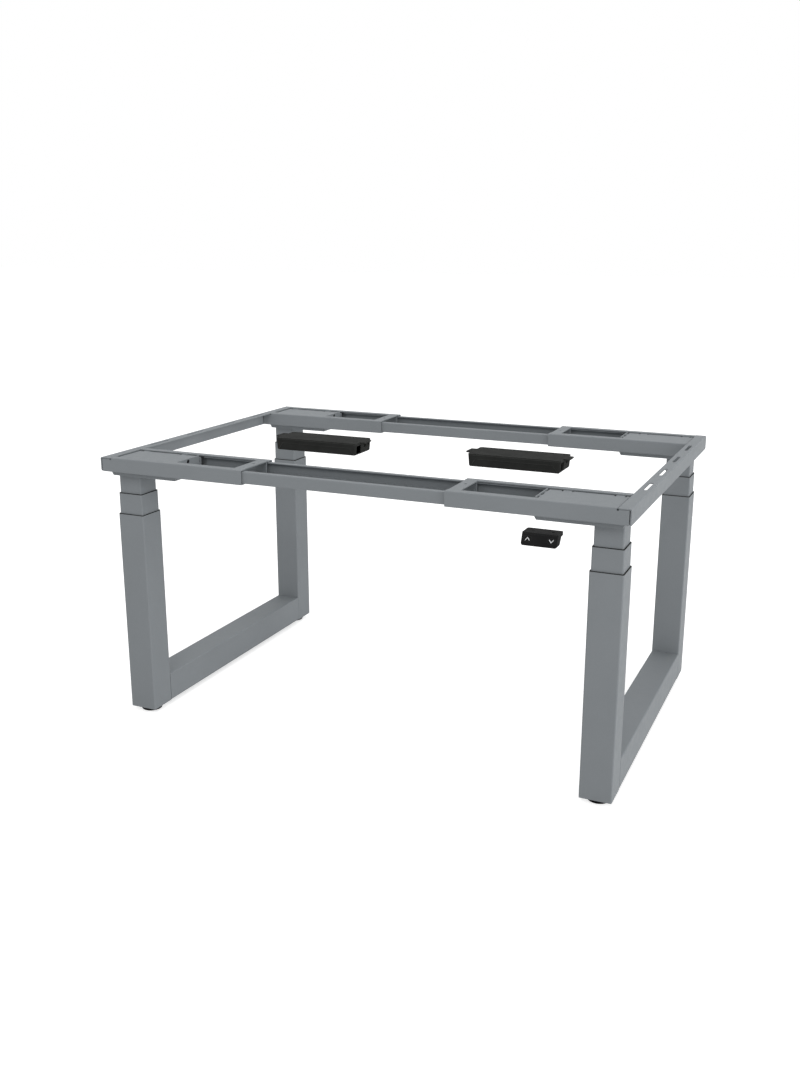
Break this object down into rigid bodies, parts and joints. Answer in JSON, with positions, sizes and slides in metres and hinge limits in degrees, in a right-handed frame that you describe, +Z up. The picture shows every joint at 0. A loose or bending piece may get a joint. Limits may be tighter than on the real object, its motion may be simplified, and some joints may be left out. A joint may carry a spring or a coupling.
{
  "type": "standing desk frame",
  "caption": "Height-adjustable desk frame with telescopic square columns, floor beams, width-adjustable rails, control boxes and an up and down handset.",
  "frame": {"origin": "on the floor, under the middle of the whole object's plan box, which runs from the handset's lower front edge to the rear rail", "axes": "+X along the two rails towards the handset's side, +Y from the user's side to the back, +Z up"},
  "size_m": [1.24, 1.105, 0.647],
  "materials": {
    "powder_coat": "fine-grained satin powder coat in mid grey",
    "black_plastic": "fine moulded texture, black",
    "foot_plastic": "smooth black plastic",
    "zinc_steel": "bright zinc-plated steel",
    "circuit_board": "green lacquered circuit board"
  },
  "bodies": {
    "left_base": {"left_front_outer_tube": "powder_coat", "left_rear_outer_tube": "powder_coat", "left_foot_beam": "powder_coat", "left_leg_bases": "zinc_steel", "left_outer_guides": "black_plastic"},
    "left_stage": {"left_front_middle_tube": "powder_coat", "left_rear_middle_tube": "powder_coat", "left_middle_guides": "black_plastic", "left_nut_carriers": "zinc_steel"},
    "left_top": {"left_front_inner_tube": "powder_coat", "left_front_rail_end": "powder_coat", "left_front_column_tray": "powder_coat", "left_rear_inner_tube": "powder_coat", "left_rear_rail_end": "powder_coat", "left_rear_column_tray": "powder_coat", "left_side_support": "powder_coat", "left_column_plates": "powder_coat", "left_rail_straps": "powder_coat", "left_gear_motors": "zinc_steel", "left_frame_screws": "zinc_steel"},
    "left_front_spindle": {"left_front_spindle": "zinc_steel"},
    "left_front_foot": {"left_front_foot": "foot_plastic"},
    "left_rear_spindle": {"left_rear_spindle": "zinc_steel"},
    "left_rear_foot": {"left_rear_foot": "foot_plastic"},
    "right_base": {"right_front_outer_tube": "powder_coat", "right_rear_outer_tube": "powder_coat", "right_foot_beam": "powder_coat", "right_leg_bases": "zinc_steel", "right_outer_guides": "black_plastic"},
    "right_stage": {"right_front_middle_tube": "powder_coat", "right_rear_middle_tube": "powder_coat", "right_middle_guides": "black_plastic", "right_nut_carriers": "zinc_steel"},
    "right_top": {"right_front_inner_tube": "powder_coat", "right_front_rail_end": "powder_coat", "right_front_column_tray": "powder_coat", "right_rear_inner_tube": "powder_coat", "right_rear_rail_end": "powder_coat", "right_rear_column_tray": "powder_coat", "right_side_support": "powder_coat", "right_column_plates": "powder_coat", "right_rail_straps": "powder_coat", "right_gear_motors": "zinc_steel", "right_frame_screws": "zinc_steel"},
    "right_front_spindle": {"right_front_spindle": "zinc_steel"},
    "right_front_foot": {"right_front_foot": "foot_plastic"},
    "right_rear_spindle": {"right_rear_spindle": "zinc_steel"},
    "right_rear_foot": {"right_rear_foot": "foot_plastic"},
    "centre": {"front_middle_rail": "powder_coat", "rear_middle_rail": "powder_coat", "left_control_housing": "black_plastic", "left_control_cover": "black_plastic", "right_control_housing": "black_plastic", "right_control_cover": "black_plastic", "control_sockets": "black_plastic", "circuit_boards": "circuit_board", "handset_housing": "black_plastic", "handset_plate": "black_plastic"},
    "up_button": {"up_button": "black_plastic"},
    "down_button": {"down_button": "black_plastic"}
  },
  "joints": [
    {"name": "lift", "type": "slide", "parent": "left_base", "child": "left_top", "axis": [0, 0, 1], "range_m": [0, 0.65]},
    {"name": "left_stage_lift", "type": "slide", "parent": "left_base", "child": "left_stage", "axis": [0, 0, 1], "range_m": [0, 0.325]},
    {"name": "width_left", "type": "slide", "parent": "left_top", "child": "centre", "axis": [1, 0, 0], "range_m": [-0.006, 0.11]},
    {"name": "width_right", "type": "slide", "parent": "centre", "child": "right_top", "axis": [1, 0, 0], "range_m": [-0.006, 0.11]},
    {"name": "right_stage_lift", "type": "slide", "parent": "right_top", "child": "right_stage", "axis": [0, 0, -1], "range_m": [0, 0.325]},
    {"name": "right_base_lift", "type": "slide", "parent": "right_top", "child": "right_base", "axis": [0, 0, -1], "range_m": [0, 0.65]},
    {"name": "left_front_foot_screw", "type": "slide", "parent": "left_base", "child": "left_front_foot", "axis": [0, 0, -1], "range_m": [0, 0.01]},
    {"name": "left_front_spindle_turn", "type": "hinge", "parent": "left_top", "child": "left_front_spindle", "pos_m": [-0.57, -0.2395, 0.3], "axis": [0, 0, 1], "range_deg": [0, 23400]},
    {"name": "left_rear_foot_screw", "type": "slide", "parent": "left_base", "child": "left_rear_foot", "axis": [0, 0, -1], "range_m": [0, 0.01]},
    {"name": "left_rear_spindle_turn", "type": "hinge", "parent": "left_top", "child": "left_rear_spindle", "pos_m": [-0.57, 0.4845, 0.3], "axis": [0, 0, 1], "range_deg": [0, 23400]},
    {"name": "right_front_foot_screw", "type": "slide", "parent": "right_base", "child": "right_front_foot", "axis": [0, 0, -1], "range_m": [0, 0.01]},
    {"name": "right_front_spindle_turn", "type": "hinge", "parent": "right_top", "child": "right_front_spindle", "pos_m": [0.57, -0.2395, 0.3], "axis": [0, 0, 1], "range_deg": [0, 23400]},
    {"name": "right_rear_foot_screw", "type": "slide", "parent": "right_base", "child": "right_rear_foot", "axis": [0, 0, -1], "range_m": [0, 0.01]},
    {"name": "right_rear_spindle_turn", "type": "hinge", "parent": "right_top", "child": "right_rear_spindle", "pos_m": [0.57, 0.4845, 0.3], "axis": [0, 0, 1], "range_deg": [0, 23400]},
    {"name": "up_button_press", "type": "slide", "parent": "centre", "child": "up_button", "axis": [0, 0.9252, -0.3796], "range_m": [0, 0.0008], "stiffness_N_per_m": 1500, "springref_m": -0.0004},
    {"name": "down_button_press", "type": "slide", "parent": "centre", "child": "down_button", "axis": [0, 0.9252, -0.3796], "range_m": [0, 0.0008], "stiffness_N_per_m": 1500, "springref_m": -0.0004}
  ],
  "couplings": [
    {"joint": "left_stage_lift", "follows": "lift", "ratio": 0.5},
    {"joint": "right_stage_lift", "follows": "lift", "ratio": 0.5},
    {"joint": "right_base_lift", "follows": "lift", "ratio": 1},
    {"joint": "left_front_spindle_turn", "follows": "lift", "rad_per_m": 628.32},
    {"joint": "left_rear_spindle_turn", "follows": "lift", "rad_per_m": 628.32},
    {"joint": "right_front_spindle_turn", "follows": "lift", "rad_per_m": 628.32},
    {"joint": "right_rear_spindle_turn", "follows": "lift", "rad_per_m": 628.32}
  ]
}
